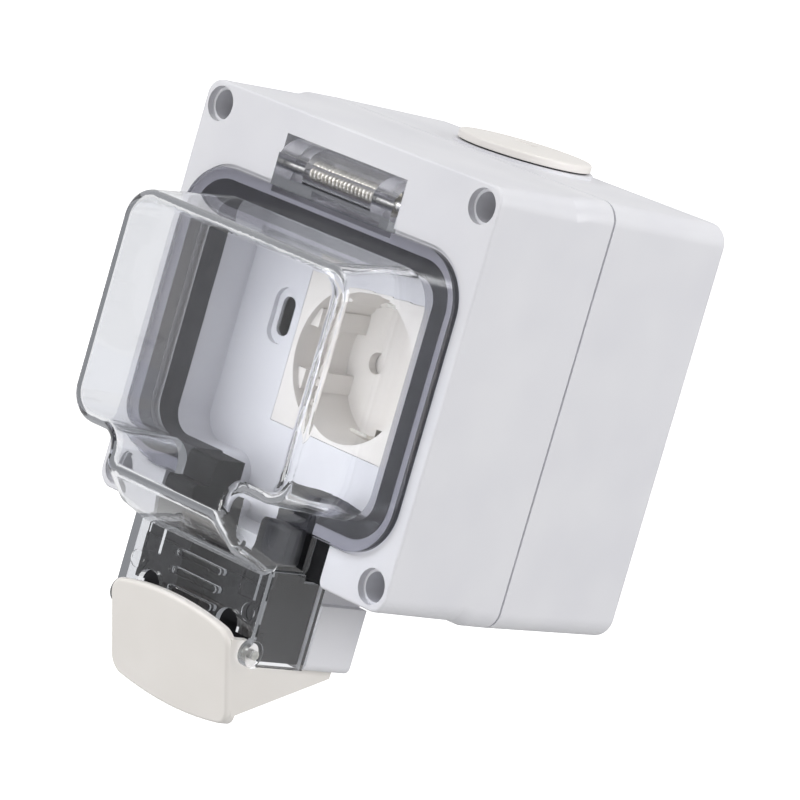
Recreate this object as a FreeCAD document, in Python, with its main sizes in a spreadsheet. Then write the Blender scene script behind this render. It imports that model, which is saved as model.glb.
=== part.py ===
import FreeCAD, Part
import math
import os
import re

import Sketcher

# Outdoor wall socket with a clear hinged lid. Millimetres.
# X is to the right seen from the front, Y goes into the wall, Z is up.
# The face of the front cover is at Y = 0 and its middle is at X = 0, Z = 0.

doc = FreeCAD.newDocument("OutdoorSocket")
sheet = doc.addObject("Spreadsheet::Sheet", "Sizes")

SIZES = [
    # casing
    ("face_inset", 1.1, "front face, across and up, in from the sides of the case"),
    ("face_corner", 4.5, "corner radius of the front face"),
    ("skirt_inset", 0.8, "front cover where its taper ends, in from the sides of the case"),
    ("face_round", 0.8, "front edge of the cover"),
    ("skirt_depth", 27.6, "depth of the tapered part"),
    ("flange_start", 31.3, "depth where the flange is full size"),
    ("case_width", 110.0, "flange and back box at the parting line"),
    ("case_corner", 5.5, "corner radius of flange and back box"),
    ("parting_depth", 39.5, "parting line behind the face"),
    ("case_depth", 84.0, "wall plane behind the face"),
    ("rear_inset", 0.7, "back box at the wall, in from the sides of the case"),
    ("rear_round", 2.6, "rounding of the back box at the wall"),
    ("case_wall", 3.2, "wall of cover and back box"),
    ("rear_wall", 3.2, "floor of the back box"),
    ("parting_step", 0.7, "open groove along the parting line"),
    ("case_seal_inset", 1.25, "outer edge of casing to its seal"),
    ("case_seal_width", 1.2, "width of the casing seal"),
    ("case_seal_depth", 1.3, "depth of the casing seal"),
    # cover screws
    ("screw_inset", 7.0, "cover screws, across and up, in from the sides of the case"),
    ("well_width", 9.0, "screw well at the face"),
    ("well_step_depth", 2.0, "ledge in the screw well"),
    ("well_bore", 7.6, "screw well below the ledge"),
    ("well_depth", 13.0, "seat of the screw head"),
    ("column_width", 11.2, "screw columns"),
    ("screw_width", 4.0, "shank of the cover screws"),
    ("screw_head_width", 6.6, "head of the cover screws"),
    ("screw_head_height", 2.6, "height of the screw heads"),
    ("screw_length", 44.0, "cover screws under the head"),
    ("screw_clearance", 0.2, "round the shank in the cover"),
    ("drive_width", 3.4, "cross recess across"),
    ("drive_slot", 0.9, "cross recess slot"),
    ("drive_depth", 1.3, "cross recess depth"),
    # wall fixing and cable entry
    ("fixing_spacing", 70.0, "wall fixing holes, across and up"),
    ("fixing_hole", 5.2, "wall fixing hole"),
    ("fixing_boss", 11.0, "boss round a wall fixing hole"),
    ("fixing_boss_height", 1.6, "height of that boss"),
    ("entry_hole", 27.0, "cable entry in the top wall"),
    ("entry_depth", 61.0, "cable entry behind the face"),
    ("entry_flat", 0.6, "raised pad under the entry cap"),
    ("cap_width", 35.0, "flange of the entry cap"),
    ("cap_height", 2.1, "height of that flange"),
    ("cap_crown", 0.7, "dome on the entry cap"),
    ("cap_stem_length", 6.4, "stem through the wall"),
    ("cap_stem_wall", 2.2, "wall of the stem"),
    ("cap_clearance", 0.1, "stem in the entry hole"),
    ("cap_slot_length", 8.0, "coin slot in the cap"),
    ("cap_slot_width", 1.8, "coin slot in the cap"),
    ("cap_seal_height", 0.4, "washer under the cap"),
    ("cap_seal_margin", 0.8, "flange beyond its washer"),
    # lid seat in the front cover
    ("seat_inset", 4.7, "recess for the lid rim, in from the sides of the case"),
    ("seat_top_inset", 20.0, "upper edge of that recess, in from the edge of the case"),
    ("seat_bottom_inset", 11.8, "lower edge of that recess, in from the edge of the case"),
    ("seat_corner", 14.5, "corner radius of that recess"),
    ("seat_depth", 0.8, "depth of that recess"),
    ("rim_gap", 0.6, "lid rim inside its recess"),
    ("rim_gap_top", 0.9, "lid rim below the recess edge"),
    ("rim_lift", 0.3, "lid rim above the recess floor"),
    ("rim_thickness", 2.2, "lid rim"),
    ("seal_inset", 3.7, "recess edge to the lid seal"),
    ("seal_width", 2.8, "width of the lid seal"),
    ("seal_groove", 1.8, "depth of the seal groove"),
    ("seal_stand", 0.2, "lid seal above the recess floor"),
    ("tub_margin", 1.2, "lid seal to the tub"),
    ("tub_depth", 22.0, "floor of the tub behind the face"),
    ("tub_wall", 2.2, "walls of the tub"),
    ("floor_wall", 2.4, "floor of the tub"),
    ("slot_offset", 27.2, "oblong holes from the middle"),
    ("slot_height", 14.6, "countersink of the oblong hole"),
    ("slot_width", 8.0, "countersink of the oblong hole"),
    ("slot_step", 1.4, "depth of that countersink"),
    ("slot_hole_height", 10.2, "oblong hole"),
    ("slot_hole_width", 4.6, "oblong hole"),
    ("slot_rise", 0.6, "oblong holes above the middle"),
    # cable way
    ("channel_width", 45.0, "cable way below the tub"),
    ("channel_round", 5.5, "rounding where tub and cable way meet"),
    ("notch_width", 62.0, "notch for the lid neck"),
    ("notch_depth", 8.8, "depth of that notch"),
    ("notch_round", 2.6, "rounded corners of that notch"),
    ("bracket_width", 52.0, "catch bracket under the cover"),
    ("bracket_neck_width", 46.5, "catch bracket next to the cover"),
    ("bracket_neck_drop", 6.0, "height of that neck"),
    ("bracket_reach", 22.0, "underside of the bracket below the middle, below the case"),
    ("bracket_round", 2.2, "lower corners of the catch bracket"),
    ("bracket_rear", 24.5, "rear of the bracket"),
    ("bracket_wall", 3.0, "walls of the bracket"),
    ("catch_slot_front", 18.4, "front of the catch slot"),
    ("catch_slot_rear", 22.9, "rear of the catch slot"),
    ("catch_slot_width", 44.4, "catch slot across"),
    # rubber cable seal
    ("block_width", 44.4, "cable seal in the chin"),
    ("block_front", 6.6, "front of its upper part ahead of the face"),
    ("block_low_front", 8.1, "front of its lower part ahead of the face"),
    ("block_top_inset", 13.0, "top of its front part below the middle, in from the edge of the case"),
    ("block_step_reach", 2.6, "where the lower part starts, below the case"),
    ("block_toe_reach", 14.0, "where the foot steps back, below the case"),
    ("block_toe_front", 5.4, "front of the foot ahead of the face"),
    ("block_reach", 21.0, "underside below the middle, below the case"),
    ("block_clearance", 0.3, "cable seal ahead of the bracket"),
    ("prong_inset", 20.0, "top of the prongs below the middle, in from the edge of the case"),
    ("prong_front", 1.5, "front of the prongs ahead of the face"),
    ("saddle_width", 24.0, "opening between the prongs"),
    ("saddle_inset", 0.0, "foot of that opening below the middle, in from the edge of the case"),
    ("saddle_round", 7.0, "rounded foot of that opening"),
    ("throat_width", 15.0, "cable throat"),
    ("throat_rear", 2.0, "cable throat behind the face"),
    ("shoulder_front", 1.1, "front of the seal shoulder"),
    ("shoulder_gap", 0.3, "seal shoulder in the notch"),
    # lid
    ("lid_wall", 2.0, "wall of the clear lid"),
    ("root_inset", 13.8, "bubble at the rim, in from the sides of the case"),
    ("root_top_inset", 27.0, "bubble at the rim, in from the edge of the case"),
    ("root_bottom_inset", 18.4, "bubble at the rim, in from the edge of the case"),
    ("root_corner", 10.0, "bubble at the rim"),
    ("bubble_inset", 14.5, "bubble at its front, in from the sides of the case"),
    ("bubble_top_inset", 29.2, "bubble at its front, in from the edge of the case"),
    ("bubble_bottom_inset", 21.1, "bubble at its front, in from the edge of the case"),
    ("bubble_corner", 8.0, "bubble at its front"),
    ("bubble_depth", 30.2, "bubble front ahead of the face"),
    ("bubble_edge", 3.2, "rounding round the bubble front"),
    ("neck_width", 44.2, "neck at the bubble front"),
    ("neck_inset", 12.4, "neck at the bubble front, in from the edge of the case"),
    ("neck_round", 4.2, "hollow corner between bubble and neck"),
    ("neck_corner", 4.4, "lower corners of the neck"),
    ("apron_depth", 21.0, "middle section ahead of the face"),
    ("apron_width", 48.6, "neck at the middle section"),
    ("apron_inset", 4.6, "neck at the middle section, in from the edge of the case"),
    ("chin_width", 51.6, "chin of the lid"),
    ("chin_top_inset", 0.4, "top of the chin below the middle, in from the edge of the case"),
    ("chin_front", 11.0, "front of the chin ahead of the face"),
    ("chin_rear", 8.2, "rear of the chin sides"),
    ("chin_reach", 21.8, "underside of the chin sides, below the case"),
    ("panel_wall", 1.7, "front panel of the chin"),
    ("panel_reach", 15.2, "lower edge of the front panel, below the case"),
    ("grip_width", 17.4, "grip bars on the panel"),
    ("grip_height", 1.7, "grip bars on the panel"),
    ("grip_proud", 0.5, "grip bars ahead of the panel"),
    ("grip_depth", 1.0, "grip bars on the panel"),
    ("grip_reach", 3.4, "first grip bar below the middle, below the case"),
    ("grip_pitch", 4.6, "grip bar spacing"),
    ("stiffener_offset", 18.0, "stiffeners from the middle"),
    ("stiffener_width", 5.6, "stiffeners in the chin"),
    ("stiffener_depth", 0.9, "stiffeners in the chin"),
    ("stiffener_reach", 6.4, "lower end of the stiffeners, below the case"),
    ("window_offset", 14.9, "arched windows from the middle"),
    ("window_width", 8.0, "arched windows"),
    ("window_reach", 10.5, "crown of the arched windows, below the case"),
    ("disc_offset", 21.0, "round marks on the panel"),
    ("disc_width", 4.6, "round marks on the panel"),
    ("disc_depth", 0.4, "round marks on the panel"),
    ("disc_reach", 9.4, "round marks below the middle, below the case"),
    # hinge
    ("hinge_depth", 5.1, "hinge axis behind the face"),
    ("hinge_inset", 15.2, "hinge axis above the middle, in from the edge of the case"),
    ("tab_rise", 2.6, "flat front of the hinge tab above the pin"),
    ("tab_lap", 1.6, "hinge tab down into the rim"),
    ("barrel_width", 13.6, "hinge barrel of the lid"),
    ("hinge_notch_width", 44.0, "notch for the hinge"),
    ("hinge_notch_inset", 7.7, "top of that notch, in from the edge of the case"),
    ("hinge_notch_foot", 22.6, "bottom of that notch, in from the edge of the case"),
    ("hinge_notch_depth", 12.8, "depth of that notch"),
    ("hinge_gap", 0.6, "barrel ends in the notch"),
    ("hinge_block", 4.2, "cover beside the hinge notch"),
    ("pin_width", 2.6, "hinge pin"),
    ("pin_clearance", 0.1, "hinge pin in the barrel"),
    ("pin_grip", 3.4, "hinge pin in the cover"),
    ("spring_room", 25.2, "gap in the barrel for the spring"),
    ("spring_room_width", 8.6, "gap in the barrel for the spring"),
    ("spring_length", 24.4, "hinge spring"),
    ("spring_wire", 1.1, "wire of the hinge spring"),
    ("spring_mean", 5.4, "mean width of the hinge spring"),
    ("spring_coils", 17.0, "coils of the hinge spring"),
    # latch
    ("latch_ahead", 9.0, "latch axis ahead of the face"),
    ("latch_reach", 19.0, "latch axis below the middle, below the case"),
    ("latch_width", 44.8, "paddle"),
    ("latch_cheek", 2.5, "cheeks of the latch"),
    ("latch_face", 6.1, "paddle face ahead of the latch axis"),
    ("latch_tilt", 20.0, "paddle, degrees from upright"),
    ("paddle_wall", 2.8, "thickness of the paddle"),
    ("paddle_top_reach", 14.9, "upper corners of the paddle, below the case"),
    ("paddle_crown", 2.9, "rise of its upper edge"),
    ("paddle_reach", 38.0, "lower corners of the paddle, below the case"),
    ("paddle_sag", 2.6, "drop of its lower edge"),
    ("paddle_corner", 4.6, "corner radius of the paddle"),
    ("paddle_edge", 1.1, "rounding of its front edge"),
    ("latch_pin_width", 2.4, "latch pin"),
    ("latch_pin_clearance", 0.12, "latch pin in the cheeks"),
    ("ear_width", 6.8, "ears of the lid round the latch pin"),
    ("ear_gap", 0.6, "cheeks to ears"),
    ("cheek_knuckle", 5.4, "cheeks round the latch pin"),
    ("cheek_rear", 22.2, "rear end of the cheeks"),
    ("cheek_rise", 0.45, "cheeks below the bracket"),
    ("hook_length", 2.8, "catch bar front to rear"),
    ("hook_rise", 0.35, "tooth on the catch bar"),
    ("cheek_foot_reach", 36.0, "lower front end of the cheeks, below the case"),
    ("cheek_heel_reach", 24.2, "lower rear end of the cheeks, below the case"),
    # socket insert
    ("insert_width", 42.4, "insert plate"),
    ("insert_height", 41.2, "insert plate"),
    ("insert_drop", 4.4, "insert centre below the middle"),
    ("insert_fit", 0.1, "insert plate in its window"),
    ("insert_flange", 1.9, "flange of the insert beyond its plate"),
    ("flange_wall", 2.0, "thickness of that flange"),
    ("recess_width", 39.0, "plug recess"),
    ("recess_depth", 17.5, "plug recess"),
    ("cup_wall", 1.6, "wall of the recess cup"),
    ("cup_floor", 2.5, "floor of the recess cup"),
    ("pole_spacing", 19.0, "plug pins"),
    ("pole_hole", 5.6, "pin hole"),
    ("key_width", 5.0, "guide ribs in the recess"),
    ("key_level", 8.0, "guide ribs above and below the centre"),
    ("key_face", 15.9, "guide rib faces from the middle"),
    ("key_start", 2.0, "guide ribs behind the plate"),
    ("base_width", 40.6, "socket base"),
    ("base_depth", 18.0, "socket base"),
    ("shutter_width", 31.0, "shutter disc"),
    ("shutter_wall", 1.6, "shutter disc"),
    ("shutter_play", 0.3, "shutter in its pocket"),
    ("shutter_turn", 38.0, "shutter holes away from the pins, degrees"),
    ("pivot_width", 3.6, "shutter pivot"),
    ("pivot_play", 0.1, "shutter on its pivot"),
    ("coil_width", 6.6, "mean width of the shutter spring"),
    ("coil_wire", 0.6, "wire of the shutter spring"),
    ("coil_height", 2.0, "height of the shutter spring"),
    ("coil_play", 0.4, "pocket round the shutter spring"),
    ("tube_width", 7.2, "contact tube"),
    ("tube_bore", 4.9, "contact tube"),
    ("tube_length", 12.0, "contact tube"),
    ("contact_fit", 0.15, "contacts in the base"),
    ("terminal_width", 7.2, "terminal block of a contact"),
    ("terminal_height", 7.0, "terminal block of a contact"),
    ("terminal_drop", 9.6, "terminal below its pin"),
    ("terminal_depth", 8.0, "terminal block of a contact"),
    ("terminal_screw", 3.4, "terminal screw"),
    ("terminal_head", 4.6, "terminal screw head"),
    ("wire_hole", 2.6, "wire hole of a terminal"),
    ("earth_strip", 0.9, "thickness of the earth clip"),
    ("earth_width", 6.0, "width of the earth clip"),
    ("earth_height", 36.6, "earth clip across its arms"),
    ("earth_reach", 9.5, "arms ahead of the recess floor"),
    ("earth_bend", 1.5, "inward bend of the arms"),
    ("earth_play", 0.3, "earth clip in its slots"),
    ("base_screw_width", 2.6, "screws of the socket base"),
    ("base_screw_across", 34.4, "spacing of those screws"),
    ("base_screw_up", 14.0, "spacing of those screws"),
    ("small_head", 5.0, "heads of the small screws"),
    ("small_head_height", 1.7, "heads of the small screws"),
    ("screw_bite", 1.3, "small screws in their last layer"),
    ("retainer_height", 60.0, "retainer plate"),
    ("retainer_wall", 2.4, "retainer plate"),
    ("retainer_gap", 0.5, "retainer plate round the cup"),
    ("retainer_screw", 3.0, "retainer screws"),
    ("retainer_across", 36.0, "spacing of those screws"),
    ("retainer_up", 53.0, "spacing of those screws"),
    ("retainer_boss", 6.4, "bosses for those screws"),
]

for row, (alias, amount, meaning) in enumerate(SIZES, start=1):
    sheet.set("A%d" % row, meaning)
    sheet.set("B%d" % row, str(amount))
    sheet.setAlias("B%d" % row, alias)
doc.recompute()

# Widths and heights that follow the edge of the case
FOLLOW = {
    "face_width": "(case_width - 2 * face_inset)",
    "skirt_width": "(case_width - 2 * skirt_inset)",
    "rear_width": "(case_width - 2 * rear_inset)",
    "screw_spacing": "(case_width - 2 * screw_inset)",
    "seat_width": "(case_width - 2 * seat_inset)",
    "root_width": "(case_width - 2 * root_inset)",
    "bubble_width": "(case_width - 2 * bubble_inset)",
    "seat_top": "(case_width / 2 - seat_top_inset)",
    "root_top": "(case_width / 2 - root_top_inset)",
    "bubble_top": "(case_width / 2 - bubble_top_inset)",
    "hinge_level": "(case_width / 2 - hinge_inset)",
    "hinge_notch_top": "(case_width / 2 - hinge_notch_inset)",
    "hinge_notch_bottom": "(case_width / 2 - hinge_notch_foot)",
    "seat_bottom": "(case_width / 2 - seat_bottom_inset)",
    "root_bottom": "(case_width / 2 - root_bottom_inset)",
    "bubble_bottom": "(case_width / 2 - bubble_bottom_inset)",
    "neck_bottom": "(case_width / 2 - neck_inset)",
    "apron_bottom": "(case_width / 2 - apron_inset)",
    "block_top": "(case_width / 2 - block_top_inset)",
    "prong_top": "(case_width / 2 - prong_inset)",
    "chin_top": "(case_width / 2 - chin_top_inset)",
    "saddle_bottom": "(case_width / 2 - saddle_inset)",
    "bracket_bottom": "(case_width / 2 + bracket_reach)",
    "block_step": "(case_width / 2 + block_step_reach)",
    "block_toe": "(case_width / 2 + block_toe_reach)",
    "block_bottom": "(case_width / 2 + block_reach)",
    "chin_bottom": "(case_width / 2 + chin_reach)",
    "panel_bottom": "(case_width / 2 + panel_reach)",
    "stiffener_bottom": "(case_width / 2 + stiffener_reach)",
    "window_top": "(case_width / 2 + window_reach)",
    "disc_level": "(case_width / 2 + disc_reach)",
    "grip_first": "(case_width / 2 + grip_reach)",
    "latch_level": "(case_width / 2 + latch_reach)",
    "paddle_top": "(case_width / 2 + paddle_top_reach)",
    "paddle_bottom": "(case_width / 2 + paddle_reach)",
    "cheek_foot": "(case_width / 2 + cheek_foot_reach)",
    "cheek_heel": "(case_width / 2 + cheek_heel_reach)",
}
NAMES = {alias for alias, amount, meaning in SIZES}
WORD = re.compile(r"[a-z][a-z_]+")


def bound(text):
    """Point the named sizes in a formula at the spreadsheet."""
    text = WORD.sub(lambda word: FOLLOW.get(word.group(), word.group()), text)
    return WORD.sub(lambda word: "Sizes." + word.group() if word.group() in NAMES else word.group(), text)


def number(text):
    """Current value of a formula in named sizes."""
    result = sheet.evalExpression(bound(text))
    return float(getattr(result, "Value", result))


def tie(thing, slot, text):
    thing.setExpression(slot, bound(text))


def new_body(name):
    """Body drawn from the front of the cover and set so that the wall is at zero."""
    body = doc.addObject("PartDesign::Body", name)
    body.Label = name
    tie(body, "Placement.Base.y", "-case_depth")
    return body


PLANES = {"front": "XZ_Plane", "side": "YZ_Plane", "top": "XY_Plane"}


def new_sketch(body, view, start, aside="0"):
    """Sketch seen from the front, the side or the top, at a distance along Y, X or Z."""
    sketch = body.newObject("Sketcher::SketchObject", body.Label + "_sketch")
    plane = [item for item in body.Origin.OriginFeatures if item.Role == PLANES[view]]
    sketch.AttachmentSupport = [(plane[0], "")]
    sketch.MapMode = "FlatFace"
    sign = "-1 * " if view == "front" else ""
    tie(sketch, "AttachmentOffset.Base.z", sign + "(" + start + ")")
    tie(sketch, "AttachmentOffset.Base.x", aside)
    return sketch


def fix_point(sketch, item, end, across, up):
    """Hold a point of the sketch at formulas across and up from the origin."""
    for kind, text in (("DistanceX", across), ("DistanceY", up)):
        index = sketch.addConstraint(Sketcher.Constraint(kind, -1, 1, item, end, number(text)))
        tie(sketch, "Constraints[%d]" % index, text)


def fix_radius(sketch, item, text):
    index = sketch.addConstraint(Sketcher.Constraint("Radius", item, number(text)))
    tie(sketch, "Constraints[%d]" % index, text)


def add_circle(sketch, across, up, width):
    centre = FreeCAD.Vector(number(across), number(up), 0)
    radius = "(" + width + ") / 2"
    item = sketch.addGeometry(Part.Circle(centre, FreeCAD.Vector(0, 0, 1), number(radius)), False)
    fix_point(sketch, item, 3, across, up)
    fix_radius(sketch, item, radius)


def add_outline(sketch, corners):
    """Closed outline of straight edges. A corner is (across, up) or (across, up, radius)."""
    spots = [FreeCAD.Vector(number(item[0]), number(item[1]), 0) for item in corners]
    count = len(corners)
    entry = []
    leave = []
    arcs = []
    for place, item in enumerate(corners):
        spot = spots[place]
        if len(item) < 3:
            entry.append(spot)
            leave.append(spot)
            arcs.append(None)
            continue
        radius = number(item[2])
        back = (spots[place - 1] - spot).normalize()
        ahead = (spots[(place + 1) % count] - spot).normalize()
        half = back.getAngle(ahead) / 2
        reach = radius / math.tan(half)
        centre = spot + (back + ahead).normalize() * (radius / math.sin(half))
        first = spot + back * reach
        last = spot + ahead * reach
        left = (first - spot).cross(last - spot).z < 0
        ends = (first, last) if left else (last, first)
        angles = [math.atan2(end.y - centre.y, end.x - centre.x) for end in ends]
        if angles[1] < angles[0]:
            angles[1] += 2 * math.pi
        ring = Part.Circle(centre, FreeCAD.Vector(0, 0, 1), radius)
        entry.append(first)
        leave.append(last)
        arcs.append((Part.ArcOfCircle(ring, angles[0], angles[1]), left, item[2]))
    points = [sketch.addGeometry(Part.Point(spot), True) for spot in spots]
    lines = []
    for place in range(count):
        line = Part.LineSegment(leave[place], entry[(place + 1) % count])
        lines.append(sketch.addGeometry(line, False))
    for place, item in enumerate(corners):
        before = lines[place - 1]
        after = lines[place]
        fix_point(sketch, points[place], 1, item[0], item[1])
        if arcs[place] is None:
            sketch.addConstraint(Sketcher.Constraint("Coincident", before, 2, points[place], 1))
            sketch.addConstraint(Sketcher.Constraint("Coincident", after, 1, points[place], 1))
            continue
        shape, left, radius = arcs[place]
        arc = sketch.addGeometry(shape, False)
        sketch.addConstraint([
            Sketcher.Constraint("Tangent", before, 2, arc, 1 if left else 2),
            Sketcher.Constraint("Tangent", after, 1, arc, 2 if left else 1),
            Sketcher.Constraint("PointOnObject", points[place], 1, before),
            Sketcher.Constraint("PointOnObject", points[place], 1, after),
        ])
        fix_radius(sketch, arc, radius)


def box_corners(left, right, low, high, radius=None):
    corners = [(left, low), (right, low), (right, high), (left, high)]
    return [corner + (radius,) for corner in corners] if radius else corners


def square(width, radius):
    half = "(" + width + ") / 2"
    return box_corners("-" + half, half, "-" + half, half, radius)


def extrude(body, cut, view, start, length, outlines=(), circles=()):
    """Pad or pocket that runs from its start towards plus Y, X or Z."""
    sketch = new_sketch(body, view, start)
    for corners in outlines:
        add_outline(sketch, corners)
    for across, up, width in circles:
        add_circle(sketch, across, up, width)
    kind = "PartDesign::Pocket" if cut else "PartDesign::Pad"
    feature = body.newObject(kind, body.Label + ("_pocket" if cut else "_pad"))
    feature.Profile = sketch
    feature.Reversed = (view == "front") != cut
    tie(feature, "Length", length)
    doc.recompute()
    return feature


def pad(body, view, start, length, outlines=(), circles=()):
    return extrude(body, False, view, start, length, outlines, circles)


def pocket(body, view, start, length, outlines=(), circles=()):
    before = body.Shape.Volume
    feature = extrude(body, True, view, start, length, outlines, circles)
    if body.Shape.Volume > before - 1e-4:
        raise ValueError(body.Label + ": a pocket cuts nothing")
    return feature


def loft(body, cut, sections, ruled=True):
    """Loft through outlines given as (distance, corners), seen from the front."""
    sketches = []
    for start, corners in sections:
        sketch = new_sketch(body, "front", start)
        add_outline(sketch, corners)
        sketches.append(sketch)
    kind = "PartDesign::SubtractiveLoft" if cut else "PartDesign::AdditiveLoft"
    feature = body.newObject(kind, body.Label + "_loft")
    feature.Profile = sketches[0]
    feature.Sections = sketches[1:]
    feature.Ruled = ruled
    doc.recompute()
    return feature


def round_edges(body, kind, radius, wanted):
    """Round or bevel the edges of the body that the test picks."""
    base = body.Tip
    edges = base.Shape.Edges
    names = ["Edge%d" % place for place, edge in enumerate(edges, start=1) if wanted(edge)]
    feature = body.newObject("PartDesign::" + kind, body.Label + "_" + kind.lower())
    feature.Base = (base, names)
    tie(feature, "Radius" if kind == "Fillet" else "Size", radius)
    doc.recompute()
    return feature


def revolve(body, view, aside, corners, axis):
    """Solid of revolution about an upright axis set aside from the middle."""
    sketch = new_sketch(body, view, "0", aside)
    add_outline(sketch, corners)
    feature = body.newObject("PartDesign::Revolution", body.Label + "_turned")
    feature.Profile = sketch
    feature.ReferenceAxis = (sketch, [axis])
    feature.Angle = 360
    doc.recompute()
    return feature


def along(edge, direction):
    """True for a straight edge that runs along the direction."""
    if not isinstance(edge.Curve, Part.Line):
        return False
    return abs(abs(edge.Curve.Direction.dot(direction)) - 1) < 1e-6


def near(value, text, slack=0.02):
    return abs(value - number(text)) < slack


ALONG_X = FreeCAD.Vector(1, 0, 0)
ALONG_Y = FreeCAD.Vector(0, 1, 0)
ALONG_Z = FreeCAD.Vector(0, 0, 1)
CORNERS = [("-1", "-1"), ("1", "-1"), ("1", "1"), ("-1", "1")]


def four_circles(across, up, width, drop="0"):
    return [
        ("%s * (%s) / 2" % (side, across), "%s * (%s) / 2 - (%s)" % (level, up, drop), width)
        for side, level in CORNERS
    ]


def seat_outline(inset):
    """Outline of the lid seat, moved inwards."""
    half = "(seat_width / 2 - (%s))" % inset
    return box_corners(
        "-" + half, half, "-(seat_bottom - (%s))" % inset, "seat_top - (%s)" % inset,
        "seat_corner - (%s)" % inset,
    )


TUB_INSET = "seal_inset + seal_width + tub_margin"
TUB_SIDE = "(seat_width / 2 - (" + TUB_INSET + "))"
TUB_TOP = "(seat_top - (" + TUB_INSET + "))"
TUB_LOW = "(seat_bottom - (" + TUB_INSET + "))"
TUB_CORNER = "(seat_corner - (" + TUB_INSET + "))"


def tub_outline(wall, foot):
    """Tub with the cable way below it, grown by a wall, down to its foot."""
    side = "(" + TUB_SIDE + " + " + wall + ")"
    way = "(channel_width / 2 + " + wall + ")"
    low = "-(" + TUB_LOW + " + " + wall + ")"
    corner = TUB_CORNER + " + " + wall
    meet = "channel_round - " + wall
    return [
        ("-" + way, foot), (way, foot), (way, low, meet), (side, low, corner),
        (side, TUB_TOP + " + " + wall, corner), ("-" + side, TUB_TOP + " + " + wall, corner),
        ("-" + side, low, corner), ("-" + way, low, meet),
    ]


INSERT_LEVEL = "-insert_drop"
FLOOR_REAR = "(tub_depth + floor_wall)"
FLANGE_REAR = "(tub_depth + floor_wall + flange_wall)"
RECESS_FLOOR = "(tub_depth + recess_depth)"
CUP_REAR = "(tub_depth + recess_depth + cup_floor)"
BASE_REAR = "(tub_depth + recess_depth + cup_floor + base_depth)"
RIM_REAR = "(seat_depth - rim_lift)"
BLOCK_REAR = "(notch_depth - block_clearance)"
BRACKET_NECK = "(face_width / 2 + bracket_neck_drop)"

# Front cover
cover = new_body("front_cover")
pad(cover, "front", "flange_start", "parting_depth - flange_start",
    [square("case_width", "case_corner")])
loft(cover, False, [
    ("skirt_depth", square("skirt_width", "case_corner")),
    ("flange_start", square("case_width", "case_corner")),
])
loft(cover, False, [
    ("0", square("face_width", "face_corner")),
    ("skirt_depth", square("skirt_width", "case_corner")),
])
round_edges(cover, "Fillet", "face_round",
            lambda edge: all(near(spot.Point.y, "0") for spot in edge.Vertexes))
pocket(cover, "front", "case_wall", "parting_depth - case_wall",
       [square("face_width - 2 * case_wall", "case_corner")])
pad(cover, "front", "case_wall / 2", "parting_depth - case_wall / 2",
    circles=four_circles("screw_spacing", "screw_spacing", "column_width"))
pad(cover, "front", "case_wall / 2", FLOOR_REAR + " - case_wall / 2",
    [tub_outline("tub_wall", "-(face_width / 2 - case_wall / 2)")])
pad(cover, "front", "case_wall / 2", "notch_depth + tub_wall - case_wall / 2",
    [box_corners("-(notch_width / 2 + tub_wall)", "notch_width / 2 + tub_wall",
                 "-(face_width / 2 - case_wall / 2)", "-(seat_bottom - tub_wall)")])
pad(cover, "front", "case_wall / 2", "hinge_notch_depth + tub_wall - case_wall / 2",
    [box_corners("-(hinge_notch_width / 2 + hinge_block)", "hinge_notch_width / 2 + hinge_block",
                 "hinge_notch_bottom - tub_wall", "hinge_notch_top + tub_wall")])
pocket(cover, "front", "0", "seat_depth", [seat_outline("0")])
pocket(cover, "front", "seat_depth", "seal_groove",
       [seat_outline("seal_inset"), seat_outline("seal_inset + seal_width")])
pocket(cover, "front", "0", "tub_depth", [tub_outline("0", "-(case_width / 2 + case_wall)")])
pocket(cover, "front", "0", "notch_depth", [[
    ("-notch_width / 2", "-(seat_bottom - seat_depth)"),
    ("-notch_width / 2", "-skirt_width / 2", "notch_round"),
    ("-notch_width / 2 - 2 * notch_round", "-skirt_width / 2"),
    ("-notch_width / 2 - 2 * notch_round", "-(skirt_width / 2 + case_wall)"),
    ("notch_width / 2 + 2 * notch_round", "-(skirt_width / 2 + case_wall)"),
    ("notch_width / 2 + 2 * notch_round", "-skirt_width / 2"),
    ("notch_width / 2", "-skirt_width / 2", "notch_round"),
    ("notch_width / 2", "-(seat_bottom - seat_depth)"),
]])
pocket(cover, "front", "0", "hinge_notch_depth",
       [box_corners("-hinge_notch_width / 2", "hinge_notch_width / 2",
                    "hinge_notch_bottom", "hinge_notch_top")])
pocket(cover, "side", "-(hinge_notch_width / 2 + pin_grip)", "hinge_notch_width + 2 * pin_grip",
       circles=[("hinge_depth", "hinge_level", "pin_width")])
# catch bracket below the cover
pad(cover, "front", "notch_depth", "bracket_rear - notch_depth",
    [box_corners("-bracket_neck_width / 2", "bracket_neck_width / 2", "-(" + BRACKET_NECK + ")",
                 "-(face_width / 2 - case_wall)")])
pad(cover, "front", "notch_depth", "bracket_rear - notch_depth",
    [[("-bracket_width / 2", "-bracket_bottom", "bracket_round"),
      ("bracket_width / 2", "-bracket_bottom", "bracket_round"),
      ("bracket_width / 2", "-(" + BRACKET_NECK + ")"),
      ("-bracket_width / 2", "-(" + BRACKET_NECK + ")")]])
pocket(cover, "front", "notch_depth + bracket_wall", "bracket_rear - notch_depth",
       [box_corners("-(bracket_width / 2 - bracket_wall)", "bracket_width / 2 - bracket_wall",
                    "-(bracket_bottom - bracket_wall)", "-(" + BRACKET_NECK + " + bracket_wall)")])
pocket(cover, "top", "-(bracket_bottom + 1)", "bracket_wall + 2",
       [box_corners("-catch_slot_width / 2", "catch_slot_width / 2",
                    "catch_slot_front", "catch_slot_rear")])
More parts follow.
